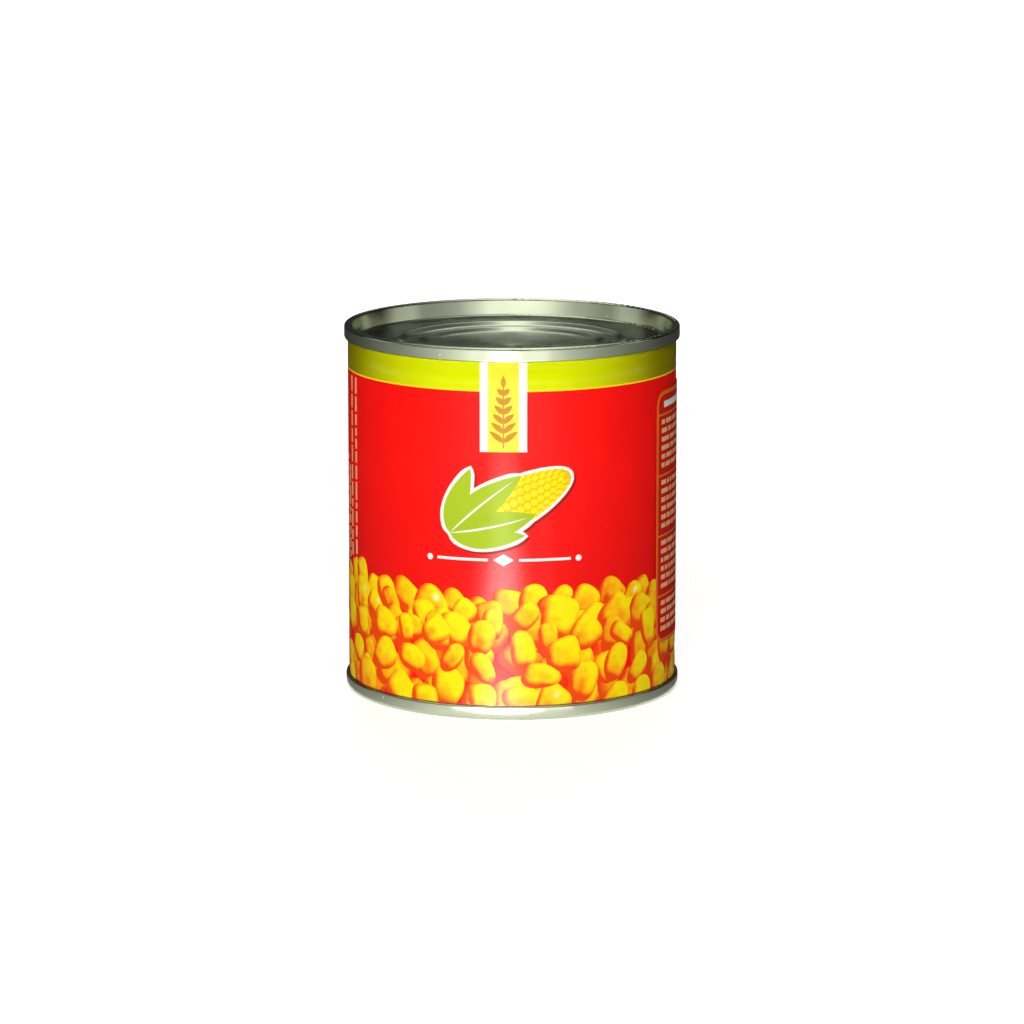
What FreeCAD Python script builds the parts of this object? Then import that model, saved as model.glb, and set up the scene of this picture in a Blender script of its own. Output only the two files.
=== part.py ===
"""Shut food can with a paper label. Every size is in millimetres.

The can is a round tinplate body, filled and shut by one formed end at each
mouth. The rim of each end is rolled together with the mouth of the body into a
double seam, and a paper label is glued round the wall between the two seams.

+Z points up, the origin is the middle of the base, and the front of the label
faces -Y.
"""
import FreeCAD
import Part

import math
import os

# ---------------------------------------------------------------- driving sizes

CAN_HEIGHT = 82.5           # over the two seams
BODY_RADIUS = 36.65         # outside of the body wall

BODY_PLATE = 0.20           # sheet that the body is rolled from
END_PLATE = 0.24            # sheet that the ends are pressed from

# Double seam: five plies stand side by side, from the chuck wall outwards.
SEAM_HEIGHT = 3.05          # from the rim's crest to the lowest point of its curl
PLY_GAP = 0.08              # free space between two neighbouring plies
HOOK_TIP_GAP = 0.40         # from a hook's tip to the bend that it points into
RIM_BEND = 0.50             # bend of the end's sheet over the crest, at its mid-line

# Formed panel inside the rim, from the wall inwards.
CHUCK_WALL_LEAN = 10.0      # degrees that the wall leans inwards on its way down
COUNTERSINK_DEPTH = 3.95    # from the rim's crest to the floor of the groove
GROOVE_WIDTH = 1.30         # of the groove's floor at the foot of the wall
GROOVE_BEND = 0.60
PANEL_RISE = 0.38           # from the groove's floor up to the outer panel's edge
PANEL_RISE_RUN = 0.80       # radial length of that rise
PANEL_BEND = 0.45
PANEL_FALL = 0.10           # how far the outer panel slopes down on its way in
STEP_RADIUS = 25.5          # where the outer panel starts to step down
STEP_RUN = 1.55             # radial length of one step
STEP_DROP = 0.64            # height of one step
STEP_BEND = 0.60
LEDGE_WIDTH = 3.0           # flat ring between the two steps
DISH_DEPTH = 0.60           # how far the vacuum pulls the middle of the panel in

# Paper label.
PAPER = 0.10
PAPER_GAP = 0.05            # between the wall and the paper
PAPER_EDGE_GAP = 0.15       # between the paper's edge and the seam beside it
LAP_WIDTH = 7.0             # glued overlap of the label's two ends
LAP_ANGLE = 78.0            # degrees from +X to the middle of the lap, seen from above

# ------------------------------------------------------------ sizes that follow

SIDE = FreeCAD.Vector(0, 1, 0)      # a profile lies in the plane that this is square to
AXIS = FreeCAD.Vector(0, 0, 1)
TINY = 1e-6

# Radius of each ply's mid-line in the seam.
BODY_WALL_R = BODY_RADIUS - BODY_PLATE / 2
CHUCK_WALL_R = BODY_RADIUS - BODY_PLATE - PLY_GAP - END_PLATE / 2
COVER_HOOK_R = BODY_RADIUS + PLY_GAP + END_PLATE / 2
BODY_HOOK_R = COVER_HOOK_R + END_PLATE / 2 + PLY_GAP + BODY_PLATE / 2
SEAM_WALL_R = BODY_HOOK_R + BODY_PLATE / 2 + PLY_GAP + END_PLATE / 2

# Heights of the mid-lines at the top seam.
CREST_Z = CAN_HEIGHT - END_PLATE / 2
CURL_Z = CAN_HEIGHT - SEAM_HEIGHT + END_PLATE / 2
FLANGE_Z = CAN_HEIGHT - END_PLATE - PLY_GAP - BODY_PLATE / 2
BODY_HOOK_TIP_Z = CURL_Z + END_PLATE / 2 + HOOK_TIP_GAP
COVER_HOOK_TIP_Z = FLANGE_Z - BODY_PLATE / 2 - HOOK_TIP_GAP


# ------------------------------------------------------------- bent-sheet tools

def point(radius, height):
    return FreeCAD.Vector(radius, 0, height)


def line(start, end):
    """A straight edge, or nothing where the two points are one."""
    if start.distanceToPoint(end) < TINY:
        return []
    return [Part.LineSegment(start, end).toShape()]


def run_beside(route, distance):
    """Edges that run `distance` to the left of a bent line.

    `route` lists the line's corners as (radius, height, bend radius). A corner
    with no bend stays sharp, and a bend takes at most half of the run beside it,
    or all of it where the route ends. Returns the edges, their first point and
    their last.
    """
    corners = [point(radius, height) for radius, height, _ in route]
    runs = [b - a for a, b in zip(corners, corners[1:])]
    room = [run.Length / 2 for run in runs]
    room[0], room[-1] = runs[0].Length, runs[-1].Length
    ways = [run.normalize() for run in runs]
    lefts = [FreeCAD.Vector(-way.z, 0, way.x) for way in ways]

    first = corners[0] + lefts[0] * distance
    here, edges = first, []
    for i in range(1, len(corners) - 1):
        bend = route[i][2]
        before, after = lefts[i - 1], lefts[i]
        if bend < TINY:
            mitre = (before + after) * (distance / (1 + before.dot(after)))
            there = corners[i] + mitre
            edges += line(here, there)
            here = there
            continue
        half_turn = math.tan(ways[i - 1].getAngle(ways[i]) / 2)
        bend = min(bend, min(room[i - 1], room[i]) / half_turn)
        side = math.copysign(1, before.dot(ways[i]))
        reach = bend * half_turn
        enter = corners[i] - ways[i - 1] * reach
        leave = corners[i] + ways[i] * reach
        centre = enter + before * (side * bend)
        middle = centre + (corners[i] - centre).normalize() * (bend - side * distance)
        there, then = enter + before * distance, leave + after * distance
        edges += line(here, there)
        edges.append(Part.Arc(there, middle, then).toShape())
        here = then
    last = corners[-1] + lefts[-1] * distance
    edges += line(here, last)
    return edges, first, last


def turned(edges):
    """The solid that a closed half profile sweeps once round the can's axis."""
    wire = Part.Wire(Part.__sortEdges__(edges))
    return Part.Face(wire).revolve(FreeCAD.Vector(), AXIS, 360)


def other_way_up(shape):
    """The same form at the can's other mouth."""
    return shape.mirror(point(0, CAN_HEIGHT / 2), AXIS)


# --------------------------------------------------------------- the end's form

def panel_route():
    """Mid-line of the pressed panel, from the axis out to the floor of the groove."""
    groove_z = CAN_HEIGHT - COUNTERSINK_DEPTH - END_PLATE / 2
    panel_edge_z = groove_z + PANEL_RISE
    outer_z = panel_edge_z - PANEL_FALL
    ledge_z = outer_z - STEP_DROP
    inner_z = ledge_z - STEP_DROP
    ledge_outer = STEP_RADIUS - STEP_RUN
    ledge_inner = ledge_outer - LEDGE_WIDTH
    inner_edge = ledge_inner - STEP_RUN

    wall_drop = CREST_Z - groove_z
    wall_foot = CHUCK_WALL_R - wall_drop * math.tan(math.radians(CHUCK_WALL_LEAN))
    groove_inner = wall_foot - GROOVE_WIDTH

    # The dish is level at the axis and climbs to the step in one wide bend.
    dish_corner = 0.4 * inner_edge
    return [
        (0, inner_z - DISH_DEPTH, 0),
        (dish_corner, inner_z - DISH_DEPTH, math.inf),
        (inner_edge, inner_z, STEP_BEND),
        (ledge_inner, ledge_z, STEP_BEND),
        (ledge_outer, ledge_z, STEP_BEND),
        (STEP_RADIUS, outer_z, STEP_BEND),
        (groove_inner - PANEL_RISE_RUN, panel_edge_z, PANEL_BEND),
        (groove_inner, groove_z, GROOVE_BEND),
        (wall_foot, groove_z, GROOVE_BEND),
    ]


def formed_end():
    """End pressed from one sheet: panel, groove, chuck wall, rim and cover hook."""
    rim_bend = min(RIM_BEND, (SEAM_WALL_R - CHUCK_WALL_R) / 2)
    curl_bend = (SEAM_WALL_R - COVER_HOOK_R) / 2
    route = panel_route() + [
        (CHUCK_WALL_R, CREST_Z, rim_bend),
        (SEAM_WALL_R, CREST_Z, rim_bend),
        (SEAM_WALL_R, CURL_Z, curl_bend),
        (COVER_HOOK_R, CURL_Z, curl_bend),
        (COVER_HOOK_R, COVER_HOOK_TIP_Z, 0),
    ]
    upper, upper_start, upper_end = run_beside(route, END_PLATE / 2)
    lower, lower_start, lower_end = run_beside(route, -END_PLATE / 2)
    return turned(upper + line(upper_end, lower_end) + lower + line(lower_start, upper_start))


# -------------------------------------------------------------- body and label

def filled_body():
    """Body wall with a hook rolled out at each mouth, filled up to both ends."""
    middle_z = CAN_HEIGHT / 2
    inside_r = BODY_RADIUS - BODY_PLATE

    # The filling follows the underside of the panel and meets the wall below the groove.
    under_panel = panel_route()
    groove_floor_z = under_panel[-1][1]
    under_panel[-1] = (inside_r, groove_floor_z, 0)
    top, top_start, top_end = run_beside(under_panel, -END_PLATE / 2 - PLY_GAP)

    flange_bend = (BODY_HOOK_R - BODY_WALL_R) / 2
    hook = [
        (BODY_WALL_R, FLANGE_Z, flange_bend),
        (BODY_HOOK_R, FLANGE_Z, flange_bend),
        (BODY_HOOK_R, BODY_HOOK_TIP_Z, 0),
    ]
    inside, _, inside_end = run_beside([(BODY_WALL_R, top_end.z, 0)] + hook, BODY_PLATE / 2)
    outside, outside_start, outside_end = run_beside(
        [(BODY_WALL_R, middle_z, 0)] + hook, -BODY_PLATE / 2)

    half = turned(top + inside + line(inside_end, outside_end) + outside
                  + line(outside_start, point(0, middle_z))
                  + line(point(0, middle_z), top_start))
    return half.fuse(other_way_up(half)).removeSplitter()


def paper_label():
    """Paper sleeve between the seams, with its glued lap at the back."""
    low = SEAM_HEIGHT + PAPER_EDGE_GAP
    height = CAN_HEIGHT - 2 * low
    inner = BODY_RADIUS + PAPER_GAP
    base = point(0, low)
    sleeve = Part.makeCylinder(inner + PAPER, height, base, AXIS)
    lap_turn = math.degrees(LAP_WIDTH / inner)
    lap = Part.makeCylinder(inner + 2 * PAPER, height, base, AXIS, lap_turn)
    lap.rotate(base, AXIS, LAP_ANGLE - lap_turn / 2)
    hollow = Part.makeCylinder(inner, height, base, AXIS)
    return sleeve.fuse(lap).cut(hollow).removeSplitter()


# ----------------------------------------------------------------------- pieces

def main():
    lid = formed_end()
    pieces = {
        "can_body": filled_body(),
        "top_end": lid,
        "bottom_end": other_way_up(lid),
        "label": paper_label(),
    }
    os.makedirs("parts", exist_ok=True)
    for name, shape in pieces.items():
        solid = shape.Solids[0]
        if len(shape.Solids) != 1 or not solid.isValid():
            raise ValueError(f"{name} is not one sound solid")
        solid.exportStep(f"parts/{name}.step")
        box = solid.BoundBox
        print(f"{name:12s} volume {solid.Volume / 1000:8.3f} cm3  faces {len(solid.Faces):3d}  "
              f"z {box.ZMin:7.3f} to {box.ZMax:7.3f}  width {box.XLength:7.3f}")


main()
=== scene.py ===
"""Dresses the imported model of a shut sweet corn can.

The can's solids come from the frame. This file gives the ends their tinplate,
wraps the body in a printed paper label and sets the can in a pale studio. The
print is laid out flat, in metres across and up the unrolled label, and is then
wrapped round the can. `across` is 0 in line with the can's front (-Y) and grows
towards +X, and `up` is the height above the base.
"""

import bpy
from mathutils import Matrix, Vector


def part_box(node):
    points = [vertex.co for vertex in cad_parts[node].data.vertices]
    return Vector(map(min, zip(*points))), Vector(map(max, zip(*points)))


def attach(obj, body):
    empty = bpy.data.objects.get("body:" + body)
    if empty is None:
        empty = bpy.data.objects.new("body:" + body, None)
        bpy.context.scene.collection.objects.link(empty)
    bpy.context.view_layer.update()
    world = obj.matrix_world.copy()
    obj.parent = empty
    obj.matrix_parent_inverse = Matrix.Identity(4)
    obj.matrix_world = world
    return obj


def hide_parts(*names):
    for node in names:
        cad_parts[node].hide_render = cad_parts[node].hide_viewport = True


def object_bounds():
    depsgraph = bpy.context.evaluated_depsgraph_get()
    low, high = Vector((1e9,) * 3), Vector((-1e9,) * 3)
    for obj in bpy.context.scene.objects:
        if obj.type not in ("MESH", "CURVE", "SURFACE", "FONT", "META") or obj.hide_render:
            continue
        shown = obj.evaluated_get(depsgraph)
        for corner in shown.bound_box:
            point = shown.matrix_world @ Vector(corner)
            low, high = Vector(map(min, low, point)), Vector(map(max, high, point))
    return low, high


bl_info = {
    "name": "Corn Can Dressing",
    "version": (1, 0, 0),
    "blender": (4, 5, 0),
    "location": "3D View > Sidebar > Corn Can",
    "description": "Dresses a shut food can in tinplate and a printed paper label",
    "category": "Object",
}

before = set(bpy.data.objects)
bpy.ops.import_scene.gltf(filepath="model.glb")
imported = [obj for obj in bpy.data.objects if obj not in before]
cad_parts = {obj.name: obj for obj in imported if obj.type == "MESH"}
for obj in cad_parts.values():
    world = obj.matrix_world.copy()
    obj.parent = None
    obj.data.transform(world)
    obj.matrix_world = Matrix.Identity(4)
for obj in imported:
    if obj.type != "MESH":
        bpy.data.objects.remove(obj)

import math
import random
from functools import partial

import bmesh
import bpy
from mathutils import Matrix, Vector

MM = 0.001

# ---------------- sizes of the can

CAN_LOW, CAN_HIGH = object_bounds()
PAPER_LOW, PAPER_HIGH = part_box("label")

CAN_HEIGHT = CAN_HIGH.z - CAN_LOW.z
LABEL_RADIUS = PAPER_HIGH.x
LABEL_BOTTOM = PAPER_LOW.z
LABEL_TOP = PAPER_HIGH.z

PAPER = 0.10 * MM  # thickness of the label's paper
CUT_STEP = 1.25 * MM  # between the upright lines where print may bend
LAYER = 0.005 * MM  # between one layer of print and the next
LAP_START = math.radians(162.5)  # turn from the front at which the lap is fully on top
LAP_END = math.radians(173.5)  # and at which its free edge lies
LAP_SLOPE = math.radians(5.0)  # over which the paper climbs onto the layer below
FRONT = Vector((-0.087, -1, 0)).normalized()  # level way to the side most lit
LEFT_EDGE = (LAP_END - math.tau) * LABEL_RADIUS  # the visible print runs from here
RIGHT_EDGE = LAP_END * LABEL_RADIUS  # to here
KERNEL_LOOK = ("ripeness", "glint", "dent")  # how each printed kernel differs


# ---------------- small helpers

def linear(hex_colour):
    """An sRGB hex colour as the linear red, green and blue that a shader reads."""
    parts = [int(hex_colour[i:i + 2], 16) / 255 for i in (1, 3, 5)]
    return tuple(c / 12.92 if c <= 0.04045 else ((c + 0.055) / 1.055) ** 2.4 for c in parts)


def per_metre(millimetres):
    """The texture scale at which one feature is this many millimetres wide."""
    return 1 / (millimetres * MM)


def smooth_step(value):
    value = min(max(value, 0.0), 1.0)
    return value * value * (3 - 2 * value)


# ---------------- settings

def length(name, description, default):
    return bpy.props.FloatProperty(name=name, description=description, default=default,
                                   min=0.0, precision=5, unit="LENGTH")


def colour(name, description, hex_colour):
    return bpy.props.FloatVectorProperty(name=name, description=description,
                                         default=linear(hex_colour), size=3,
                                         min=0.0, max=1.0, subtype="COLOR")


def angle(name, description, degrees):
    return bpy.props.FloatProperty(name=name, description=description,
                                   default=math.radians(degrees), subtype="ANGLE")


def level(name, description, default):
    return bpy.props.FloatProperty(name=name, description=description, default=default, min=0.0)


class CornCanLayout(bpy.types.PropertyGroup):
    """Sizes of the printed label."""
    front: angle("Front turn", "Turn of the printed front about the can's axis", -2.9)
    band_height: length("Band height", "Height of the band under the top seam", 6.1 * MM)
    band_line: length("Band line", "Width of the line along the band's lower edge", 0.35 * MM)
    tab_width: length("Tab width", "Width of the tab that hangs from the top seam", 10.3 * MM)
    tab_stripe: length("Tab stripe", "Width of each stripe beside the tab's field", 1.8 * MM)
    tab_end: length("Tab end", "Height of the tab's lower end above the base", 59.6 * MM)
    heap_top: length("Heap top", "Height of the heap of kernels above the base", 29.5 * MM)
    kernel_length: length("Kernel length", "Typical length of a printed kernel", 8.0 * MM)
    emblem_height: length("Emblem height", "Height of the emblem's middle above the base",
                          46.5 * MM)
    panel_left: length("Panel edge", "Distance of the side panel from the can's front",
                       38.4 * MM)
    panel_width: length("Panel width", "Width of the side panel", 44.0 * MM)
    panel_low: length("Panel foot", "Height of the side panel's foot above the base", 12.6 * MM)
    panel_high: length("Panel head", "Height of the side panel's head above the base",
                       69.6 * MM)


class CornCanInks(bpy.types.PropertyGroup):
    """Colours of the printed label."""
    field: colour("Field", "Ink of the label's main field", "#FC0702")
    band: colour("Band", "Ink of the band under the top seam", "#D8E200")
    # The band's olive sides are painted shade, where the light falls off round the can.
    band_painted_shade: colour("Band painted shade", "Ink that the band deepens to round the sides", "#8C8200")
    line: colour("Line", "Ink of the line along the band's lower edge", "#FFDE12")
    tab: colour("Tab", "Ink of the tab's field", "#FFE53A")
    paper: colour("Paper", "Bare varnished paper, which prints as white", "#F7F5EC")
    deep_kernel: colour("Deep kernel", "Darkest ink of the kernels", "#EC4600")
    low_kernel: colour("Shaded kernel", "Ink of a kernel's shaded edge", "#FA8C00")
    mid_kernel: colour("Kernel", "Ink of a kernel's side, and between the cob's kernels", "#FFBC00")
    high_kernel: colour("Lit kernel", "Ink of a kernel's crown and of the cob's kernels", "#FFE400")
    glow: colour("Glow", "Ink of the glow between kernels", "#F84008")
    glint: colour("Glint", "Ink of the lit spots on the kernels", "#FFF9B8")
    leaf: colour("Leaf", "Ink of the emblem's husk leaves", "#A9C21A")
    vein: colour("Vein", "Ink of the sprig on the tab", "#C98A00")
    shadow: colour("Shadow", "Ink of the shadow beside the emblem", "#A80808")
    small_print: colour("Small print", "Ink of the bars that stand for small print", "#FFC08A")
    outline: colour("Outline", "Ink of the side panel's outline and rules", "#F07A1E")
    panel: colour("Panel", "Ink of the side panel's field", "#D81808")


class CornCanStudio(bpy.types.PropertyGroup):
    """Camera, lamps and surroundings."""
    camera_distance: length("Camera distance", "From the camera to the can", 1.036)
    camera_rise: angle("Camera rise", "Angle of the camera above the horizon", 11.13)
    camera_aim: length("Aim height", "Height that the camera looks at", 39.2 * MM)
    camera_lens: level("Lens", "Focal length in millimetres on a 36 mm wide sensor", 161.5)
    key_level: level("Key level", "Share of full light that the front lamp gives", 0.98)
    back_level: level("Back level", "Share of full light that the back lamp gives", 0.50)
    fill_level: level("Fill level", "Share of full light that the surroundings give", 0.10)
    glare_level: level("Glare level", "Brightness of the near edge of the glare card", 32.0)


# ---------------- shader nodes

def feed(node, feeds):
    """Feeds a node's sockets with values or links, by name or in their order."""
    for socket, source in feeds.items() if isinstance(feeds, dict) else enumerate(feeds):
        if isinstance(source, bpy.types.NodeSocket):
            node.id_data.links.new(source, node.inputs[socket])
        else:
            node.inputs[socket].default_value = source


def add_node(tree, kind, feeds=(), out=0, **settings):
    """Adds a node with its settings and feeds, and returns one of its outputs."""
    made = tree.nodes.new("ShaderNode" + kind)
    for name, value in settings.items():
        setattr(made, name, value)
    feed(made, feeds)
    return made.outputs[out]


def new_material(name, base, constants):
    """A material with its shader's constants set. Returns it, its node adder and its shader."""
    material = bpy.data.materials.new(name)
    material.use_nodes = True
    tree = material.node_tree
    shader = tree.nodes["Principled BSDF"]
    feed(shader, {"Base Color": (*base, 1), **constants})
    material.diffuse_color = (*base, 1)
    return material, partial(add_node, tree), shader


def set_ramp(ramp, stops):
    """Gives a colour ramp these stops, each a place and a colour or a grey."""
    elements = ramp.node.color_ramp.elements
    while len(elements) > 1:
        elements.remove(elements[-1])
    for i, (place, tone) in enumerate(stops):
        element = elements[0] if i == 0 else elements.new(place)
        element.position = place
        element.color = (tone, tone, tone, 1) if isinstance(tone, float) else (*tone, 1)


# ---------------- materials
# A MapRange node's values are its input, the span it comes from and the span it goes to.

EASED = {"interpolation_type": "SMOOTHSTEP"}


def varnished_paper(name, ink):
    """Press varnish over 90 g paper: a thin clear film that gives print its soft glare, and
    the faint tooth of the paper. Returns the material, its node adder, its shader and the
    place in the can's own space."""
    material, add, shader = new_material(name, ink, {
        "Roughness": 0.55, "IOR": 1.45, "Specular IOR Level": 0.0, "Coat Weight": 0.35,
        "Coat Roughness": 0.17})
    place = add("TexCoord", out="Object")
    # Paper fibres are about 0.03 mm wide. They are drawn at 0.25 mm, which still shows.
    tooth = add("TexNoise", {"Vector": place, "Scale": per_metre(0.25), "Detail": 2.0})
    bump = add("Bump", {"Height": tooth, "Strength": 0.25, "Distance": 0.01 * MM})
    feed(shader, {"Normal": bump, "Coat Normal": bump})
    return material, add, shader, place


def printed_paper(name, ink, painted_shade_ink=None):
    """Offset ink: an even colour with faint cloudy density. With a second ink, the colour
    darkens to that ink towards the can's left and right: painted shade, standing in for the
    light falling off round the can."""
    material, add, shader, place = varnished_paper(name, ink)
    tint = (*ink, 1)
    cloud = add("TexNoise", {"Vector": place, "Scale": per_metre(6.0), "Detail": 3.0})
    density = add("MapRange", (cloud, 0.3, 0.7, 0.95, 1.0))
    if painted_shade_ink is not None:
        # Painted shade: the ink darkens with the distance from the most lit side.
        frontness = add("VectorMath", (place, FRONT), "Value", operation="DOT_PRODUCT")
        off_side = add("Math", (frontness,), operation="ABSOLUTE")
        painted_shade_share = add("MapRange", (off_side, 0.35 * LABEL_RADIUS, LABEL_RADIUS), **EASED)
        tint = add("Mix", {"Factor": painted_shade_share, "A": (*painted_shade_ink, 1), "B": tint}, "Result",
                   data_type="RGBA")
    shade = add("HueSaturation", {"Value": density, "Color": tint})
    feed(shader, {"Base Color": shade})
    return material


def kernel_print(inks):
    """Halftone picture of ripe corn: yellow crowns lit from the upper right, amber sides."""
    material, add, shader, object_place = varnished_paper("Varnished_kernel_print",
                                                          inks.high_kernel)
    # The UV map holds the place on the kernel: 0 in its middle and 1 away at its edge.
    place = add("UVMap", uv_map="KernelMap")
    light = add("Attribute", out="Vector", attribute_name="light")
    ripeness, glint, dent = (add("Attribute", out="Fac", attribute_name=name)
                             for name in KERNEL_LOOK)

    # A kernel's side shows as a crescent, because its flat crown sits towards the light.
    crown = add("VectorMath", {0: light, "Scale": 0.25}, operation="SCALE")
    off_crown = add("VectorMath", (place, crown), operation="SUBTRACT")
    squares = add("VectorMath", (off_crown, off_crown), operation="MULTIPLY")
    fourth_powers = add("VectorMath", (squares, squares), "Value", operation="DOT_PRODUCT")
    from_crown = add("Math", (fourth_powers, 0.25), operation="POWER")
    side = add("MapRange", (from_crown, 0.58, 1.02, 0.0, 0.60), **EASED)
    slope = add("VectorMath", (place, crown), "Value", operation="DOT_PRODUCT")
    from_dent = add("VectorMath", (place, (0.0, -0.25, 0.0)), "Value", operation="DISTANCE")
    hollow = add("MapRange", (from_dent, 0.10, 0.50, 0.30, 0.0), **EASED)
    blotch = add("TexNoise", {"Vector": object_place, "Scale": per_metre(2.0), "Detail": 3.0})
    lit = add("Math", (slope, ripeness), operation="ADD")
    spotted = add("Math", (blotch, 0.60, lit), operation="MULTIPLY_ADD")
    sided = add("Math", (spotted, side), operation="SUBTRACT")
    dented = add("Math", (hollow, dent), operation="MULTIPLY")
    tone = add("Math", (sided, dented), operation="SUBTRACT")
    ramp = add("ValToRGB", (tone,))
    set_ramp(ramp, [(0.08, inks.deep_kernel), (0.34, inks.low_kernel),
                    (0.58, inks.mid_kernel), (0.82, inks.high_kernel)])

    lit_spot = add("VectorMath", {0: light, "Scale": 0.5}, operation="SCALE")
    from_spot = add("VectorMath", (place, lit_spot), "Value", operation="DISTANCE")
    spot = add("MapRange", (from_spot, 0.05, 0.30, 1.0, 0.0), **EASED)
    shine = add("Math", (spot, glint), operation="MULTIPLY")
    mix = add("Mix", {"Factor": shine, "A": ramp, "B": (*inks.glint, 1)}, "Result",
              data_type="RGBA")
    feed(shader, {"Base Color": mix})
    return material


def heap_ground(inks):
    """Halftone picture of the depths between kernels: red with soft orange glows."""
    material, add, shader, place = varnished_paper("Glowing_red_print", inks.field)
    glow = add("TexNoise", {"Vector": place, "Scale": per_metre(7.0), "Detail": 1.5})
    ramp = add("ValToRGB", (glow,))
    set_ramp(ramp, [(0.42, inks.field), (0.56, inks.glow), (0.70, inks.low_kernel)])
    feed(shader, {"Base Color": ramp})
    return material


def tinplate(name, base, roughness, wear):
    """Cold-rolled steel under a flow-melted tin coat: bright grey with a faint green cast,
    fine rolling streaks, rubbed rings from pressing and seaming, and small specks."""
    # Rings rubbed by the tools are too fine to see one by one, and spread a gleam across them.
    material, add, shader = new_material(name, base, {
        "Metallic": 1.0, "Roughness": roughness, "Anisotropic": 0.75,
        "Anisotropic Rotation": 0.25})
    place = add("TexCoord", out="Object")
    round_about = add("VectorMath", ((0.0, 0.0, 1.0), place), operation="CROSS_PRODUCT")
    feed(shader, {"Tangent": round_about})

    # Rolling streaks run along X: about 0.3 mm wide and many times as long.
    rolled = add("Mapping", {"Vector": place, "Scale": (0.03, 1.0, 1.0)})
    streaks = add("TexNoise", {"Vector": rolled, "Scale": per_metre(0.35), "Detail": 2.0})

    # Rings left by the tools: a pattern that depends on the distance from the axis and height.
    x, y, z = add("SeparateXYZ", (place,)).node.outputs
    flat = add("CombineXYZ", (x, y))
    reach = add("VectorMath", (flat,), "Value", operation="LENGTH")
    turn = add("Math", (x, y), operation="ARCTAN2")
    slow_turn = add("Math", (turn, 0.6 * MM), operation="MULTIPLY")
    ring_place = add("CombineXYZ", (slow_turn, reach, z))
    rings = add("TexNoise", {"Vector": ring_place, "Scale": per_metre(0.22), "Detail": 2.0})
    marks = add("Math", (streaks, rings), operation="ADD")
    bump = add("Bump", {"Height": marks, "Strength": 0.30, "Distance": 0.004 * MM})
    feed(shader, {"Normal": bump})

    # Handling leaves cloudy patches where the tin is duller.
    patches = add("TexNoise", {"Vector": place, "Scale": per_metre(9.0),
                               "Detail": 4.0, "Roughness": 0.6})
    dulled = add("MapRange", (patches, 0.35, 0.70, roughness - wear, roughness + wear))
    feed(shader, {"Roughness": dulled})

    # Small specks and nicks, 0.3 to 0.5 mm across, scattered thinly.
    from_dot, dot_colour, *_ = add("TexVoronoi", {
        "Vector": place, "Scale": per_metre(2.2)}, feature="F1").node.outputs
    chosen = add("SeparateColor", (dot_colour,))
    size = add("MapRange", (chosen, 0.80, 1.0, 0.0, 0.14))
    speck = add("Math", (from_dot, size), operation="LESS_THAN")
    pale = add("Mix", {"Factor": speck, "A": (*base, 1), "B": (*linear("#F2F2E6"), 1)},
               "Result", data_type="RGBA")
    feed(shader, {"Base Color": pale})
    return material


# ---------------- flat print tools

def wrap(bm):
    """Rolls flat print round the can, smoothly shaded. A vertex holds across, up and lift."""
    for face in bm.faces:
        face.smooth = True
    for vert in bm.verts:
        across, up, lift = vert.co
        turn = across / LABEL_RADIUS
        climb = smooth_step((turn - LAP_START) / LAP_SLOPE + 1) * PAPER
        radius = LABEL_RADIUS + climb + lift
        vert.co = (radius * math.sin(turn), -radius * math.cos(turn), up)


def moved(across, up, lift=0):
    return Matrix.Translation((across, up, lift))


def turned(turn):
    return Matrix.Rotation(turn, 4, "Z")


def sized(wide, tall):
    return Matrix.Diagonal((wide, tall, 1, 1))


def everything(bm):
    return bm.verts[:] + bm.edges[:] + bm.faces[:]


def cut(bm, place, way, **clear):
    """Cuts flat print along the line through a place, square to a way."""
    bmesh.ops.bisect_plane(bm, geom=everything(bm), dist=1e-7, plane_co=place, plane_no=way,
                           **clear)


def trim(bm, left, right, low, high):
    """Cuts away flat print outside this window."""
    for place, way in (((left, 0, 0), (-1, 0, 0)), ((right, 0, 0), (1, 0, 0)),
                       ((0, low, 0), (0, -1, 0)), ((0, high, 0), (0, 1, 0))):
        cut(bm, place, way, clear_outer=True)


def follow_curve(bm):
    """Cuts flat print on one set of upright lines, so that all its layers bend alike."""
    first = math.ceil(min(vert.co.x for vert in bm.verts) / CUT_STEP)
    last = math.floor(max(vert.co.x for vert in bm.verts) / CUT_STEP)
    for line in range(first, last + 1):
        cut(bm, (CUT_STEP * line, 0, 0), (1, 0, 0))


def add_bar(bm, left, right, low, high, lift, ink=0):
    """A rectangle of print."""
    place = (moved((left + right) / 2, (low + high) / 2, lift)
             @ sized((right - left) / 2, (high - low) / 2))
    made = bmesh.ops.create_grid(bm, x_segments=1, y_segments=1, size=1, matrix=place)
    for face in {face for vert in made["verts"] for face in vert.link_faces}:
        face.material_index = ink


def disc(segments, squareness=2.0):
    """A flat disc of unit reach, from round (2) to nearly square (5)."""
    bm = bmesh.new()
    bmesh.ops.create_circle(bm, cap_ends=True, segments=segments, radius=1)
    for vert in bm.verts:
        reach = (abs(vert.co.x) ** squareness + abs(vert.co.y) ** squareness) ** (1 / squareness)
        vert.co /= reach
    return bm


def join(bm, shape):
    """Moves a finished shape into the print that it belongs to."""
    mesh = bpy.data.meshes.new("shape")
    shape.to_mesh(mesh)
    shape.free()
    bm.from_mesh(mesh)
    bpy.data.meshes.remove(mesh)


def make_object(name, bm, materials):
    """Turns a finished bmesh into an object of the scene."""
    mesh = bpy.data.meshes.new(name)
    bm.to_mesh(mesh)
    bm.free()
    for material in materials:
        mesh.materials.append(material)
    made = bpy.data.objects.new(name, mesh)
    bpy.context.scene.collection.objects.link(made)
    return made


def make_piece(name, bm, materials):
    """Turns a finished bmesh into a piece that rides with the can."""
    piece = make_object(name, bm, materials)
    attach(piece, "root")
    return piece


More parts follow.
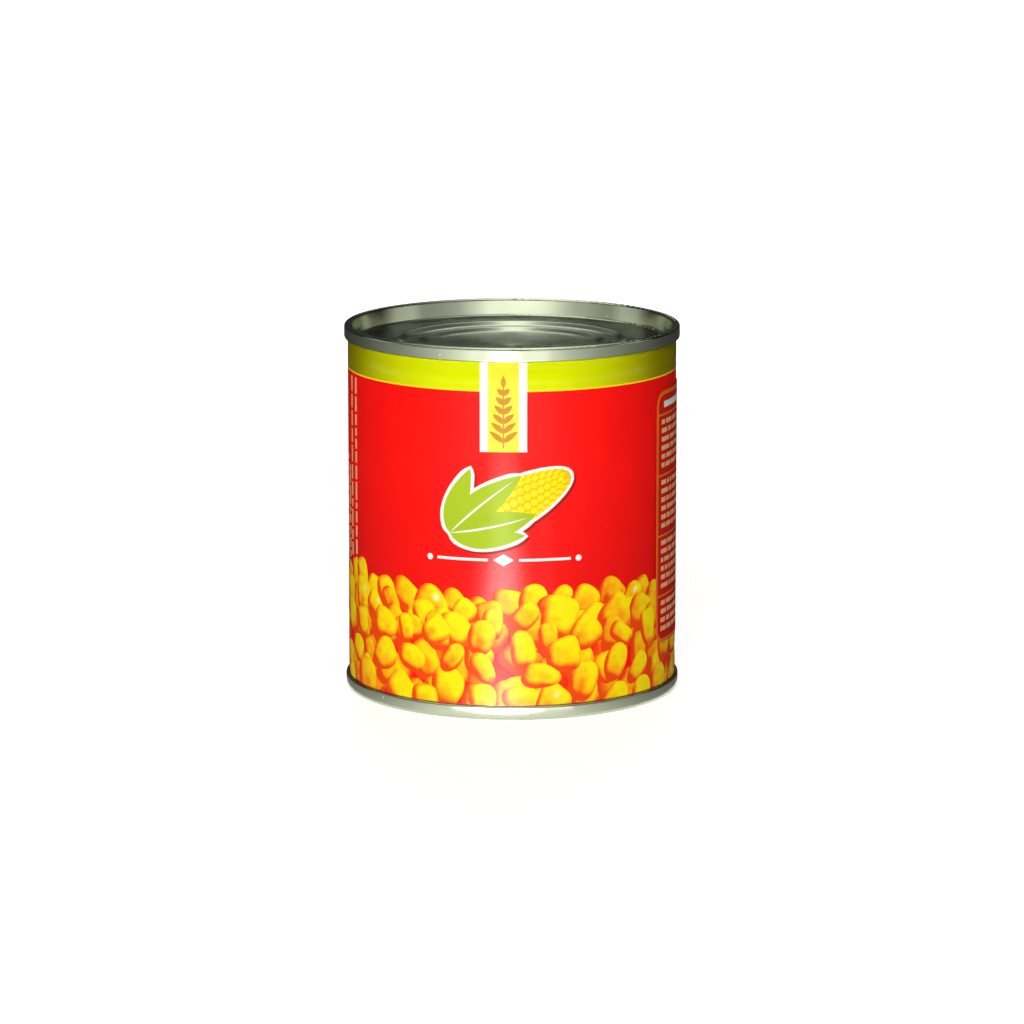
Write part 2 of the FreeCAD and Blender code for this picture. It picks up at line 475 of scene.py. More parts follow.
def make_print(name, bm, inks):
    """Turns flat print in named inks into a piece wrapped round the can."""
    follow_curve(bm)
    wrap(bm)
    make_piece(name, bm, [printed_paper(ink_name, ink) for ink_name, ink in inks])


# ---------------- operators

class CORNCAN_OT_tinplate(bpy.types.Operator):
    """Give the can's body and both ends their tinplate"""
    bl_idname = "corncan.tinplate"
    bl_label = "Tinplate"

    def execute(self, context):
        bright = tinplate("Seamed_tinplate", linear("#C2C9AE"), 0.17, 0.03)
        plain = tinplate("Body_tinplate", linear("#B6BAA6"), 0.30, 0.05)
        for node, material in (("top_end", bright), ("bottom_end", bright),
                               ("can_body", plain)):
            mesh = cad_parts[node].data
            mesh.materials.clear()
            mesh.materials.append(material)
        return {"FINISHED"}


class CORNCAN_OT_label(bpy.types.Operator):
    """Wrap the paper label round the can, with its fields of colour"""
    bl_idname = "corncan.label"
    bl_label = "Paper label"

    FIELD, BAND, LINE, TAB, STRIPE = range(5)

    def execute(self, context):
        layout, inks = context.scene.corn_can_layout, context.scene.corn_can_inks
        left = LEFT_EDGE - (LAP_END - LAP_START) * LABEL_RADIUS
        bm = bmesh.new()
        add_bar(bm, left, RIGHT_EDGE, LABEL_BOTTOM, LABEL_TOP, 0)

        band_foot = LABEL_TOP - layout.band_height
        line_foot = band_foot - layout.band_line
        middle = layout.front * LABEL_RADIUS
        tab_half = layout.tab_width / 2
        field_half = tab_half - layout.tab_stripe
        for height in (layout.tab_end, line_foot, band_foot):
            cut(bm, (0, height, 0), (0, 1, 0))
        follow_curve(bm)
        for half in (-tab_half, -field_half, tab_half, field_half):
            cut(bm, (middle + half, 0, 0), (1, 0, 0))

        for face in bm.faces:
            spot = face.calc_center_median()
            off_middle = abs(spot.x - middle)
            if spot.y > layout.tab_end and off_middle < field_half:
                face.material_index = self.TAB
            elif spot.y > layout.tab_end and off_middle < tab_half:
                face.material_index = self.STRIPE
            elif spot.y > band_foot:
                face.material_index = self.BAND
            elif spot.y > line_foot:
                face.material_index = self.LINE
        wrap(bm)

        materials = [
            printed_paper("Red_ink_on_paper", inks.field),
            # The lime band carries painted shade, darker round the can's sides.
            printed_paper("Lime_ink_with_painted_shade", inks.band, inks.band_painted_shade),
            printed_paper("Yellow_line_ink", inks.line),
            printed_paper("Yellow_ink_on_paper", inks.tab),
            printed_paper("Bare_varnished_paper", inks.paper),
        ]
        piece = make_piece("paper_label", bm, materials)
        sheet = piece.modifiers.new("Paper thickness", "SOLIDIFY")
        sheet.thickness = PAPER
        sheet.offset = -1
        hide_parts("label")
        return {"FINISHED"}


class CORNCAN_OT_kernels(bpy.types.Operator):
    """Print the heap of loose kernels along the label's foot"""
    bl_idname = "corncan.kernels"
    bl_label = "Printed kernels"

    SEED = 7
    SEGMENTS = 24
    TRIES = 9000  # spots tried for each scattered group
    REACH = 1.1  # kernel lengths within which two may overlap
    WAVES = ((0.14, 9.3 * MM), (0.10, 4.1 * MM))  # heights and lengths along the heap's top
    SPREAD = math.radians(48)  # of the kernels' lean
    FRONT_RIPENESS = 0.25  # kernels riper than this may have glints and dents
    LIGHT = Vector((0.66, 0.75, 0))  # way to the light in the printed picture

    def execute(self, context):
        layout, inks = context.scene.corn_can_layout, context.scene.corn_can_inks
        self.rng = random.Random(self.SEED)
        self.size = layout.kernel_length
        self.lowest = 2
        self.bm = bmesh.new()
        self.bm.loops.layers.uv.new("KernelMap")
        for name in KERNEL_LOOK:
            self.bm.verts.layers.float.new(name)
        self.bm.verts.layers.float_vector.new("light")

        roof = layout.heap_top - 0.5 * self.size
        crowd = roof - 0.75 * self.size  # above here the kernels lie in a dense row
        floor = LABEL_BOTTOM - 0.1 * self.size
        self.ground(roof)
        # From the back of the heap to its front: spacing in kernel lengths, and ripeness.
        self.fill(floor, roof, 1.05, 0.04)
        self.fill(floor, crowd, 0.95, 0.24)
        self.crest(roof, 0.66, 0.30)
        self.fill(crowd, roof - 0.1 * self.size, 0.74, 0.38)
        self.crest(roof - 0.45 * self.size, 1.0, 0.46)
        self.fill(floor, crowd, 0.92, 0.36)
        self.fill(floor, crowd, 0.82, 0.46)

        trim(self.bm, LEFT_EDGE, RIGHT_EDGE, LABEL_BOTTOM, LABEL_TOP)
        wrap(self.bm)
        make_piece("kernel_print", self.bm, [kernel_print(inks), heap_ground(inks)])
        return {"FINISHED"}

    def ground(self, roof):
        """The glowing depths behind the kernels, up to the middle of their top row."""
        shape = bmesh.new()
        add_bar(shape, LEFT_EDGE, RIGHT_EDGE, LABEL_BOTTOM, roof - 0.1 * self.size, LAYER, 1)
        follow_curve(shape)
        join(self.bm, shape)

    def fill(self, floor, roof, spacing, ripeness):
        """Scatters kernels between two heights, none nearer to another than the spacing."""
        spots = []
        for _ in range(self.TRIES):
            across = self.rng.uniform(LEFT_EDGE, RIGHT_EDGE)
            up = self.rng.uniform(floor, roof)
            if all(math.hypot(across - x, up - y) > spacing * self.size for x, y in spots):
                spots.append((across, up))
        self.lay(spots, ripeness)

    def crest(self, roof, spacing, ripeness):
        """Lays a row of kernels along the heap's uneven top edge."""
        spots = []
        across = LEFT_EDGE
        while across < RIGHT_EDGE:
            swell = sum(high * math.sin(across / long) for high, long in self.WAVES)
            up = roof + (swell + self.rng.uniform(-0.12, 0.12)) * self.size
            spots.append((across, up))
            across += self.rng.uniform(0.75, 1.25) * spacing * self.size
        self.lay(spots, ripeness)

    def lay(self, spots, ripeness):
        """Lays kernels on all laid before, those that overlap each other on separate layers."""
        laid = []
        for across, up in spots:
            taken = {layer for x, y, layer in laid
                     if math.hypot(across - x, up - y) < self.REACH * self.size}
            layer = min(set(range(len(taken) + 1)) - taken)
            laid.append((across, up, layer))
            self.kernel(across, up, (self.lowest + layer) * LAYER, ripeness)
        self.lowest += 1 + max(layer for _, _, layer in laid)

    def kernel(self, across, up, lift, ripeness):
        """Adds one kernel: a rounded block, oval or blunt wedge, no two alike."""
        rng = self.rng
        tall = self.size * rng.uniform(0.84, 1.18) / 2
        wide = tall * rng.uniform(0.58, 0.95)
        taper = rng.uniform(0.0, 0.30)
        squareness = rng.choice((2.0, 2.2, 2.4, 2.8, 3.3))
        bend = rng.uniform(-0.07, 0.07)
        bend_turn = rng.uniform(0, math.tau)
        lean = turned(rng.gauss(0, self.SPREAD))
        front = ripeness > self.FRONT_RIPENESS
        look = (ripeness + rng.uniform(-0.20, 0.10),
                rng.uniform(0.3, 0.9) if front and rng.random() < 0.12 else 0.0,
                rng.uniform(0.4, 1.0) if front and rng.random() < 0.35 else 0.0)

        shape = disc(self.SEGMENTS, squareness)
        place_map = shape.loops.layers.uv.new("KernelMap")
        for loop in shape.faces[:][0].loops:
            loop[place_map].uv = loop.vert.co.xy
        light = shape.verts.layers.float_vector.new("light")
        for vert in shape.verts:
            vert[light] = lean.transposed() @ self.LIGHT
        for name, amount in zip(KERNEL_LOOK, look):
            layer = shape.verts.layers.float.new(name)
            for vert in shape.verts:
                vert[layer] = amount
        for vert in shape.verts:
            x, y, _ = vert.co
            swell = 1 + bend * math.cos(3 * math.atan2(y, x) + bend_turn)
            flat = Vector((x * swell * wide * (1 + taper * y), y * swell * tall, 0))
            vert.co = lean @ flat + Vector((across, up, lift))
        follow_curve(shape)
        join(self.bm, shape)


class CORNCAN_OT_emblem(bpy.types.Operator):
    """Print the corn cob emblem, its ornament and the sprig on the tab"""
    bl_idname = "corncan.emblem"
    bl_label = "Emblem"

    WHITE, SHADE, LEAF, VEIN, COB, KERNEL = range(6)
    LEAN = math.radians(-64)
    COB_LONG = 29 * MM
    COB_WIDE = 11.6 * MM
    RIM = 0.7 * MM  # width of the white outline
    # Each husk leaf's length, width, bow of its tip and lean from the cob, back to front.
    LEAVES = ((15 * MM, 5.2 * MM, 2.4 * MM, math.radians(55)),
              (16.5 * MM, 5.0 * MM, -3.0 * MM, math.radians(-37)),
              (20.5 * MM, 6.6 * MM, 2.0 * MM, math.radians(19)),
              (19.5 * MM, 6.6 * MM, -2.0 * MM, math.radians(-19)))

    def execute(self, context):
        layout, inks = context.scene.corn_can_layout, context.scene.corn_can_inks
        self.bm = bmesh.new()
        self.middle = layout.front * LABEL_RADIUS
        self.cob(layout.emblem_height)
        self.ornament(layout.heap_top + 6.2 * MM)
        self.sprig(layout.tab_end + 0.9 * MM)
        make_print("emblem_print", self.bm, (
            ("White_emblem_ink", inks.paper), ("Dark_red_emblem_ink", inks.shadow),
            ("Leaf_green_ink", inks.leaf), ("Ochre_ink", inks.vein),
            ("Orange_cob_ink", inks.mid_kernel), ("Yellow_cob_ink", inks.high_kernel)))
        return {"FINISHED"}

    def add_shape(self, shape, ink, layer, place):
        """Adds a flat shape in one ink, on one layer, moved by a matrix."""
        bmesh.ops.transform(shape, matrix=moved(0, 0, layer * LAYER) @ place,
                            verts=shape.verts[:])
        for face in shape.faces:
            face.material_index = ink
        join(self.bm, shape)

    def slimness(self, along):
        """The cob's width at a place from -1 at its foot to 1 at its tip."""
        return 1 - 0.30 * (0.5 + 0.5 * along) ** 1.6

    def pod(self, grow):
        """The cob's outline: round at its foot and slimmer at its tip."""
        shape = disc(48, 2.2)
        for vert in shape.verts:
            x, y, _ = vert.co
            vert.co = (x * (self.COB_WIDE / 2 * self.slimness(y) + grow),
                       y * (self.COB_LONG / 2 + grow), 0)
        return shape

    def leaf(self, long, wide, bow, grow=0.0):
        """A pointed leaf that rises from its foot and bows sideways."""
        shape = bmesh.new()
        bmesh.ops.create_grid(shape, x_segments=2, y_segments=18, size=1)
        for vert in shape.verts:
            side, along = vert.co.x, (vert.co.y + 1) / 2
            half = wide / 2 * math.sin(math.pi * along ** 0.8) ** 0.8 if 0 < along < 1 else 0
            blunt = grow * min(1, 12 * along, 12 * (1 - along))
            vert.co = (bow * along ** 2 + side * (half + blunt),
                       along * (long + 2 * grow) - grow, 0)
        return shape

    def cob(self, height):
        """A leaning cob between husk leaves, outlined in white with a dark red shadow."""
        upright = moved(self.middle + 1.8 * MM, height + 1.6 * MM) @ turned(self.LEAN)
        foot = upright @ moved(0, -self.COB_LONG * 0.53)
        drop = moved(0.5 * MM, -0.5 * MM)
        for layer, ink, move in ((1, self.SHADE, drop), (2, self.WHITE, Matrix())):
            self.add_shape(self.pod(self.RIM), ink, layer, move @ upright)
            for long, wide, bow, lean in self.LEAVES:
                self.add_shape(self.leaf(long, wide, bow, self.RIM), ink, layer,
                               move @ foot @ turned(lean))
        self.add_shape(self.pod(0), self.COB, 5, upright)
        self.rows(6, upright)
        # Two leaves lie behind the cob and two in front of it.
        for layer, (long, wide, bow, lean) in zip((3, 3, 7, 7), self.LEAVES):
            place = foot @ turned(lean)
            self.add_shape(self.leaf(long, wide, bow), self.LEAF, layer, place)
            if layer == 7:
                self.add_shape(self.leaf(long * 0.9, 0.45 * MM, bow * 0.81), self.WHITE, 8,
                               place)

    def rows(self, layer, upright):
        """Seven rows of kernels that crowd towards the cob's sides and shrink to its tip."""
        count, first, span, row_turn = 12, -0.42, 1.36, math.radians(22)
        for row in range(-3, 4):
            turn = row * row_turn
            for number in range(count):
                along = first + span * (number + 0.5 * (row % 2)) / count
                slim = self.slimness(along) * (1 - abs(along) ** 2.2) ** (1 / 2.2)
                across = math.sin(turn) * self.COB_WIDE / 2 * slim
                place = moved(across, along * self.COB_LONG / 2)
                size = sized(1.0 * MM * slim * math.cos(turn), 0.78 * MM)
                self.add_shape(disc(12, 2.6), self.KERNEL, layer, upright @ place @ size)

    def ornament(self, height):
        """A rule with a lozenge in its middle and a dot at each end."""
        near, far, dot, half_rule = 3.4 * MM, 15 * MM, 16.8 * MM, 0.3 * MM
        for side in (-1, 1):
            left, right = sorted((self.middle + side * near, self.middle + side * far))
            add_bar(self.bm, left, right, height - half_rule, height + half_rule, LAYER,
                    self.WHITE)
            self.add_shape(disc(16), self.WHITE, 1, moved(self.middle + side * dot, height)
                           @ sized(0.7 * MM, 0.7 * MM))
        self.add_shape(disc(4), self.WHITE, 1,
                       moved(self.middle, height) @ sized(2.3 * MM, 1.35 * MM))

    def sprig(self, foot):
        """A seedling in ochre: an upright stem with pairs of leaves that shorten upwards."""
        stem, half_stem, pairs = 15.5 * MM, 0.16 * MM, 6
        add_bar(self.bm, self.middle - half_stem, self.middle + half_stem, foot,
                foot + stem * 0.9, LAYER, self.VEIN)
        for pair in range(pairs):
            up = foot + (0.08 + 0.80 * pair / pairs) * stem
            long = (3.9 - 0.38 * pair) * MM
            for side in (-1, 1):
                lean = turned(math.radians(-side * (46 - 3 * pair)))
                self.add_shape(self.leaf(long, 1.25 * MM, side * 0.4 * MM), self.VEIN, 2,
                               moved(self.middle, up) @ lean)
        self.add_shape(self.leaf(2.6 * MM, 1.1 * MM, 0), self.VEIN, 2,
                       moved(self.middle, foot + stem * 0.86))


class CORNCAN_OT_side_print(bpy.types.Operator):
    """Print the outlined panel at the right and the upright lines at the left"""
    bl_idname = "corncan.side_print"
    bl_label = "Side print"

    FIELD, LINE, BARS, HEAD = range(4)
    PANEL_LAYER = 38  # above every layer of kernels
    SEED = 21
    CORNER = 3.4 * MM
    OUTLINE = 0.9 * MM
    MARGIN = 2.4 * MM
    ROW = 1.95 * MM  # from one row of small print to the next
    ROW_BAR = 1.05 * MM  # height of a row's bars
    ROW_GAP = 0.6 * MM  # between two bars of a row
    GROUP = 6  # rows from one rule to the next
    COLUMNS = 6
    COLUMN_START = 45.6 * MM  # from the front to the first upright line of bars
    COLUMN_STEP = 2.3 * MM
    COLUMN_SPLIT = 0.9 * MM  # more than a step, after the first line
    COLUMN_BAR = 1.1 * MM  # width of an upright line's bars
    COLUMN_GAP = 0.65 * MM

    def execute(self, context):
        layout, inks = context.scene.corn_can_layout, context.scene.corn_can_inks
        self.rng, self.bm = random.Random(self.SEED), bmesh.new()
        self.panel(layout)
        self.rows(layout)
        self.columns(layout)
        make_print("side_print", self.bm, (
            ("Deep_red_ink", inks.panel), ("Orange_line_ink", inks.outline),
            ("Pale_bar_ink", inks.small_print), ("White_head_ink", inks.paper)))
        return {"FINISHED"}

    def panel(self, layout):
        """A rounded panel: one face with bevelled corners, inset for its outline."""
        left, right = layout.panel_left, layout.panel_left + layout.panel_width
        shape = bmesh.new()
        add_bar(shape, left, right, layout.panel_low, layout.panel_high,
                self.PANEL_LAYER * LAYER)
        bmesh.ops.bevel(shape, geom=shape.verts[:], offset=self.CORNER, segments=8,
                        profile=0.5, affect="VERTICES", material=-1)
        middle = shape.faces[:]
        rim = bmesh.ops.inset_region(shape, faces=middle, thickness=self.OUTLINE,
                                     use_boundary=True)["faces"]
        for face in rim:
            face.material_index = self.LINE
        join(self.bm, shape)

    def rows(self, layout):
        """Rows of short bars under a header, in groups parted by rules."""
        left = layout.panel_left + self.MARGIN
        right = layout.panel_left + layout.panel_width - self.MARGIN
        lift = (self.PANEL_LAYER + 1) * LAYER
        up = layout.panel_high - self.MARGIN
        add_bar(self.bm, left + 1.2 * MM, left + 20 * MM, up - 1.4 * MM, up, lift, self.HEAD)
        up -= 1.6 * self.ROW
        row = 0
        while up > layout.panel_low + 1.1 * self.ROW:
            if row % self.GROUP == 0:
                add_bar(self.bm, layout.panel_left + self.OUTLINE, right + self.MARGIN / 2, up,
                        up + 0.45 * MM, lift, self.LINE)
                up -= self.ROW
            across = left
            stop = right - (0 if row % 3 else 11 * MM)
            while across < stop - 1.2 * MM:
                word = min(self.rng.uniform(1.2, 5.0) * MM, stop - across)
                add_bar(self.bm, across, across + word, up, up + self.ROW_BAR, lift, self.BARS)
                across += word + self.ROW_GAP
            up -= self.ROW
            row += 1

    def columns(self, layout):
        """Upright lines of short bars at the left, as small print set sideways."""
        high = LABEL_TOP - layout.band_height - 1.2 * MM
        low = layout.heap_top + 1.5 * MM
        for number in range(self.COLUMNS):
            across = -self.COLUMN_START - self.COLUMN_STEP * number
            across -= self.COLUMN_SPLIT if number else 0
            up = high if number < 2 else high - self.rng.uniform(14, 22) * MM
            while up > low:
                word = min(self.rng.uniform(1.0, 4.2) * MM, up - low + 0.5 * MM)
                add_bar(self.bm, across, across + self.COLUMN_BAR, up - word, up, LAYER,
                        self.BARS)
                up -= word + self.COLUMN_GAP


class CORNCAN_OT_stage(bpy.types.Operator):
    """Set the floor, the painted reflections that only shiny surfaces see (a dark sheet all
    round, bright sheets and a glare card), the lamps, the surroundings and the camera
    """
    bl_idname = "corncan.stage"
    bl_label = "Studio"

    FLOOR_RADIUS = 2.5
    TENT_RADIUS = 1.0
    DARK_REFLECTION_LEVEL = 0.03
    CLOTH_LIFT = 0.5 * MM  # of the painted floor reflection and the dark reflection sheet's edge off the floor
    CLOTH_AWAY = 0.62  # from the can to the glowing sheets of the painted reflections, which its metal mirrors
    HOLE_RADIUS = 0.0383  # round the can, where the metal mirrors the real floor
    FOOT_SHARE = 0.62  # of its brightness that the painted floor reflection keeps at the can: painted shade there
    SIDEWAYS = Vector((1, 0, 0))
    # Brightness of each painted reflection, by the turn in degrees from the front or from sideways.
    FLOOR_LEVELS = ((0, 2.0), (20, 1.9), (27, 1.6), (35, 1.25), (45, 0.95), (55, 0.70),
                    (65, 0.52), (75, 0.40), (90, 0.26), (110, 0.15), (130, 0.08), (150, 0.05),
                    (180, 0.05))
    FRONT_LEVELS = ((0, 2.0), (20, 1.9), (27, 1.5), (35, 1.1), (45, 0.75), (57, 0.60),
                    (75, 0.45), (85, 0.80), (100, 0.75), (110, 0.30), (118, 0.0), (180, 0.0))
    ROOF_LEVELS = ((0, 0.1), (50, 0.2), (59, 0.35), (65, 0.5), (71, 0.8), (79, 1.1), (84, 1.6),
                   (96, 1.7), (101, 1.3), (109, 1.1), (115, 0.9), (121, 0.7), (130, 0.45),
                   (180, 0.2))
    REAR_LEVELS = ((0, 0.0), (72, 0.05), (81, 0.12), (84, 0.18), (87, 0.6), (89, 1.6),
                   (92, 1.6), (94, 0.6), (97, 0.18), (101, 0.12), (108, 0.05), (180, 0.0))
    GLARE_LEVELS = ((0, 1.0), (4, 0.9), (8, 0.45), (12, 0.20), (18, 0.06), (24, 0.0),
                    (180, 0.0))
    GLARE_LEAST = 1.8  # as bright as the painted floor reflection beside it
    GLARE_TURN = 24  # degrees to each side of the front
    GLARE_LIFT = 1 * MM
    GLARE_NEAR = 0.042
    GLARE_FAR = 0.66
    GLARE_FADE = 0.75  # power of the nearness

    def execute(self, context):
        studio = context.scene.corn_can_studio
        context.scene.view_settings.view_transform = "Standard"
        self.floor()
        self.dark_reflection_tent()
        self.reflection_cloths()
        self.painted_glare_card(studio)
        self.surroundings(context.scene, studio)
        self.lamp("Front_lamp", turn=-8, rise=15, distance=1.05, size=0.42,
                  level=studio.key_level)
        self.lamp("Back_lamp", turn=178, rise=32, distance=1.05, size=0.60,
                  level=studio.back_level)
        self.camera(context.scene, studio)
        return {"FINISHED"}

    def stage_object(self, name, bm, material, mirrored_only=False):
        made = make_object(name, bm, [material])
        if mirrored_only:
            for ray in ("camera", "diffuse", "shadow", "transmission"):
                setattr(made, "visible_" + ray, False)

    def seen_directly(self, add):
        """1 for rays from the camera, off shiny surfaces and through glass."""
        path = add("LightPath").node.outputs
        first = add("Math", (path["Is Camera Ray"], path["Is Glossy Ray"]), operation="MAXIMUM")
        return add("Math", (first, path["Is Transmission Ray"]), operation="MAXIMUM")

    def reach(self, add):
        """Distance from the can's axis at the floor."""
        place = add("TexCoord", out="Object")
        return add("VectorMath", (place,), "Value", operation="LENGTH")

    def glowing(self, name):
        """A material that only glows. Returns it, its node adder and its emission node."""
        material = bpy.data.materials.new(name)
        material.use_nodes = True
        tree = material.node_tree
        tree.nodes.remove(tree.nodes["Principled BSDF"])
        glow = add_node(tree, "Emission")
        feed(tree.nodes["Material Output"], {"Surface": glow})
        return material, partial(add_node, tree), glow.node

    def floor(self):
        """White floor: it glows where it is seen, and keeps the can's soft shadow."""
        bm = bmesh.new()
        bmesh.ops.create_circle(bm, cap_ends=True, segments=96, radius=self.FLOOR_RADIUS)
        material, add, shader = new_material("White_floor", linear("#DEDEDC"), {
            "Roughness": 0.9, "Specular IOR Level": 0.0})
        matt = shader.outputs["BSDF"]
        level = add("MapRange", (self.reach(add), 0.15, 0.60, 0.66, 1.0))
        glow = add("Emission", {"Color": (1, 1, 1, 1), "Strength": level})
        both = add("AddShader", (matt, glow))
        pick = add("MixShader", (self.seen_directly(add), matt, both))
        feed(material.node_tree.nodes["Material Output"], {"Surface": pick})
        self.stage_object("floor", bm, material)

    def dark_reflection_tent(self):
        """A painted dark reflection: a dim glowing sheet all round, which only shiny surfaces see.
        """
        bm = bmesh.new()
        bmesh.ops.create_uvsphere(bm, u_segments=48, v_segments=24, radius=self.TENT_RADIUS)
        bmesh.ops.bisect_plane(bm, geom=everything(bm), plane_co=(0, 0, self.CLOTH_LIFT),
                               plane_no=(0, 0, 1), clear_inner=True)
        material, _, glow = self.glowing("Dark_reflection_glow")
        feed(glow, {"Strength": self.DARK_REFLECTION_LEVEL})
        self.stage_object("dark_reflection_tent", bm, material, mirrored_only=True)

    def reflection_cloths(self):
        """Painted reflections: bright glowing sheets inside the dark one, which only shiny surfaces
        see: one on the floor, one upright in front, and two that arch over the can, broad in front
        and a narrow strip behind."""
        add, glow = self.cloth("floor_reflection", (0, -self.HOLE_RADIUS, self.CLOTH_LIFT),
                               (0, -self.TENT_RADIUS, self.CLOTH_LIFT), "Z", 0, 360,
                               FRONT, self.FLOOR_LEVELS)
        # Painted shade: the floor reflection dims near the can, as the can's shadow would dim it.
        brightest = glow.inputs["Strength"].default_value
        shaded = add("MapRange", (self.reach(add), 0.05, 0.20,
                                  self.FOOT_SHARE * brightest, brightest))
        feed(glow, {"Strength": shaded})

        away, lid = self.CLOTH_AWAY, Vector((0, 0, CAN_HEIGHT))
        foot, head = (lid + Vector((0, -away, away * math.tan(math.radians(rise))))
                      for rise in (4, 20))
        self.cloth("front_reflection", foot, head, "Z", -125, 125, FRONT, self.FRONT_LEVELS)
        left, right = (lid + Vector((side * away, -away, 0)) for side in (-1, 1))
        self.cloth("roof_reflection", left, right, "X", -55, -115, self.SIDEWAYS, self.ROOF_LEVELS)
        self.cloth("rear_reflection", left, right, "X", -115, -160, self.SIDEWAYS, self.REAR_LEVELS)

    def cloth(self, name, start, end, axis, first, last, compare, levels):
        """A glowing sheet that only shiny surfaces see, so a painted reflection, swept by a
        straight edge that turns, in degrees, round the can's lid. Returns its material's node adder
        and emission node."""
        centre = Vector((0, 0, CAN_HEIGHT))
        bm = bmesh.new()
        ends = [bm.verts.new(start), bm.verts.new(end)]
        edge = bm.edges.new(ends)
        bmesh.ops.rotate(bm, verts=ends, cent=centre,
                         matrix=Matrix.Rotation(math.radians(first), 3, axis))
        way = Vector([float(axis == letter) for letter in "XYZ"])
        full_turn = abs(last - first) == 360
        bmesh.ops.spin(bm, geom=ends + [edge], cent=centre, axis=way, steps=48,
                       angle=math.radians(last - first), use_merge=full_turn)
        material, add, glow = self.glowing(name.capitalize())
        self.fade_round(add, compare, levels, glow, (1, 1, 0) if axis == "Z" else (1, 1, 1))
        self.stage_object(name, bm, material, mirrored_only=True)
        return add, glow

    def fade_round(self, add, compare, levels, glow, share_of_axes):
        """Brightness by the turn, in degrees, between the way out from the can and another."""
        place = add("TexCoord", out="Object")
        away = add("VectorMath", (place, share_of_axes), operation="MULTIPLY")
        unit = add("VectorMath", (away,), operation="NORMALIZE")
        likeness = add("VectorMath", (unit, compare), "Value", operation="DOT_PRODUCT")
        share = add("MapRange", (likeness, -1.0))
        ramp = add("ValToRGB", (share,))
        brightest = max(level for _, level in levels)
        stops = [((1 + math.cos(math.radians(turn))) / 2, level / brightest)
                 for turn, level in levels]
        set_ramp(ramp, sorted(stops))
        feed(glow, {"Color": ramp, "Strength": brightest})

    def painted_glare_card(self, studio):
        """A painted glare: a glowing wedge on the floor in front, which only shiny surfaces see and
        the varnish mirrors as a soft highlight. It fades to both sides, and with the distance from
        the can."""
        add, glow = self.cloth("painted_glare_card", (0, -self.GLARE_NEAR, self.GLARE_LIFT),
                               (0, -self.GLARE_FAR, self.GLARE_LIFT), "Z", -self.GLARE_TURN,
                               self.GLARE_TURN, FRONT, self.GLARE_LEVELS)
        nearness = add("Math", (self.GLARE_NEAR, self.reach(add)), operation="DIVIDE")
        fade = add("Math", (nearness, self.GLARE_FADE), operation="POWER")
        level = add("Math", (fade, studio.glare_level), operation="MULTIPLY")
        # What would tint the card sets its strength instead, so that it is never black.
        sideways = glow.inputs["Color"].links[0]
        glare = add("Math", (level, sideways.from_socket), operation="MULTIPLY")
        glow.id_data.links.remove(sideways)
        least = add("Math", (glare, self.GLARE_LEAST), operation="MAXIMUM")
        feed(glow, {"Strength": least})

    def surroundings(self, scene, studio):
        """Even light from all round, which shows as plain white where it is seen."""
        world = bpy.data.worlds.new("White_surroundings")
        scene.world = world
        world.use_nodes = True
        add = partial(add_node, world.node_tree)
        level = add("MapRange", {"Value": self.seen_directly(add),
                                 "To Min": studio.fill_level, "To Max": 1.0})
        feed(world.node_tree.nodes["Background"], {"Color": (1, 1, 1, 1), "Strength": level})

    def lamp(self, name, turn, rise, distance, size, level):
        """A square soft lamp that looks at the can. `level` 1 lights white paper to white."""
        data = bpy.data.lights.new(name, "AREA")
        data.size = size
        data.energy = level * math.pi ** 2 * distance ** 2
        turn, rise = math.radians(turn), math.radians(rise)
        away = Vector((math.sin(turn) * math.cos(rise), -math.cos(turn) * math.cos(rise),
                       math.sin(rise)))
        lamp = self.aim(name, data, CAN_HEIGHT / 2, away, distance)
        lamp.visible_glossy = False

    def camera(self, scene, studio):
        data = bpy.data.cameras.new("Camera")
        data.lens = studio.camera_lens
        data.sensor_width = 36.0
        data.clip_start, data.clip_end = 0.05, 20.0
        rise = studio.camera_rise
        away = Vector((0, -math.cos(rise), math.sin(rise)))
        scene.camera = self.aim("Camera", data, studio.camera_aim, away, studio.camera_distance)

    def aim(self, name, data, height, away, distance):
        """Sets up a lamp or the camera, looking at the can's axis at this height."""
        made = bpy.data.objects.new(name, data)
        bpy.context.scene.collection.objects.link(made)
        made.location = Vector((0, 0, height)) + away * distance
        made.rotation_euler = away.to_track_quat("Z", "Y").to_euler()
        return made


class CORNCAN_PT_sidebar(bpy.types.Panel):
    """The steps that dress the can, and the sizes and colours they use"""
    bl_idname = "CORNCAN_PT_sidebar"
    bl_label = "Corn Can"
    bl_space_type = "VIEW_3D"
    bl_region_type = "UI"
    bl_category = "Corn Can"

    def draw(self, context):
        for step in STEPS:
            self.layout.operator(step.bl_idname)
        for title, group in (("Label sizes", context.scene.corn_can_layout),
                             ("Inks", context.scene.corn_can_inks),
                             ("Studio", context.scene.corn_can_studio)):
            box = self.layout.box()
            box.label(text=title)
            for name in group.bl_rna.properties.keys():
                if name not in ("rna_type", "name"):
                    box.prop(group, name)


# ---------------- registration

STEPS = (CORNCAN_OT_tinplate, CORNCAN_OT_label, CORNCAN_OT_kernels, CORNCAN_OT_emblem,
         CORNCAN_OT_side_print, CORNCAN_OT_stage)
SETTINGS = {"corn_can_layout": CornCanLayout, "corn_can_inks": CornCanInks,
            "corn_can_studio": CornCanStudio}


def register():
    for group in SETTINGS.values():
        bpy.utils.register_class(group)
    for step in STEPS + (CORNCAN_PT_sidebar,):
        bpy.utils.register_class(step)
    for name, group in SETTINGS.items():
        setattr(bpy.types.Scene, name, bpy.props.PointerProperty(type=group))


def unregister():
    for name in SETTINGS:
        delattr(bpy.types.Scene, name)
    for kind in (CORNCAN_PT_sidebar,) + STEPS[::-1] + tuple(SETTINGS.values()):
        bpy.utils.unregister_class(kind)


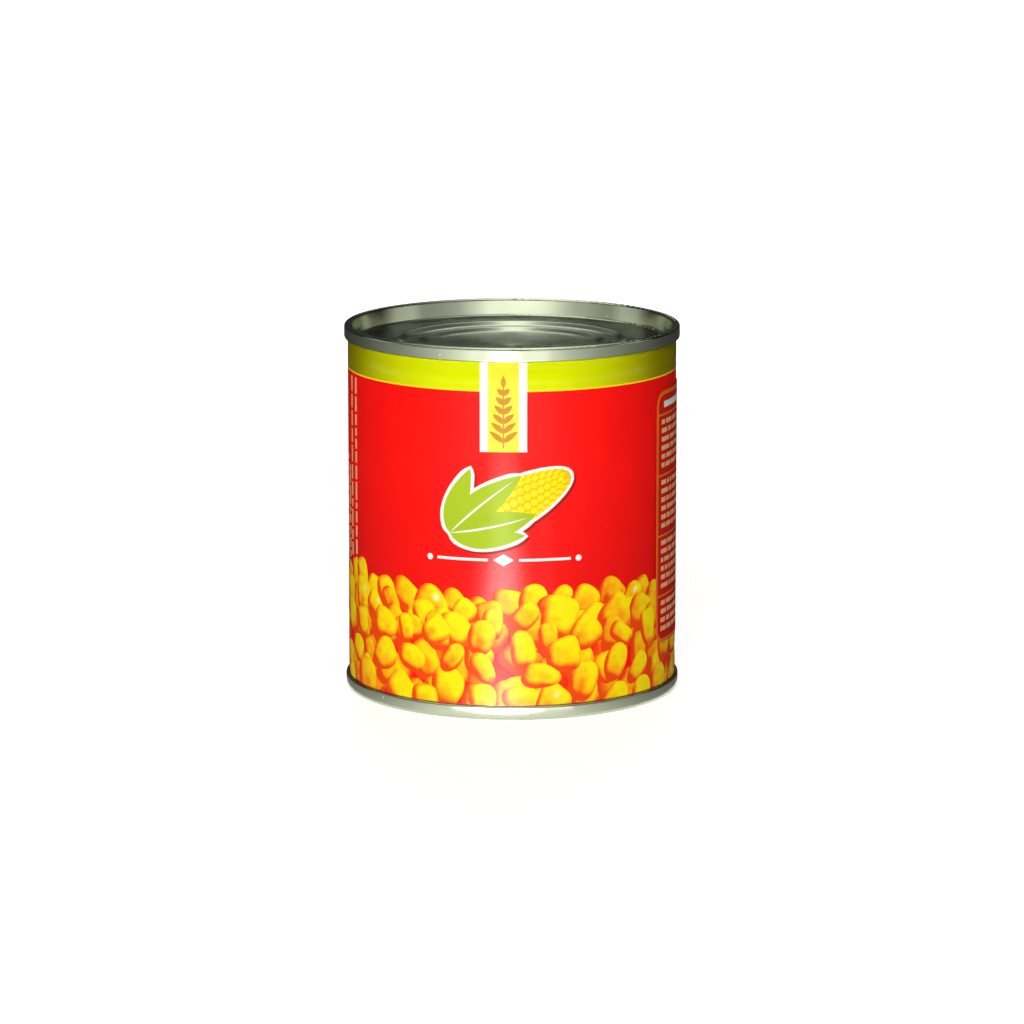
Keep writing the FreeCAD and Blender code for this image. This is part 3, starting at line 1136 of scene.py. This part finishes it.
def main():
    """Registers the add-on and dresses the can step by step."""
    register()
    for step in STEPS:
        category, name = step.bl_idname.split(".")
        getattr(getattr(bpy.ops, category), name)()


if __name__ == "__main__":
    main()
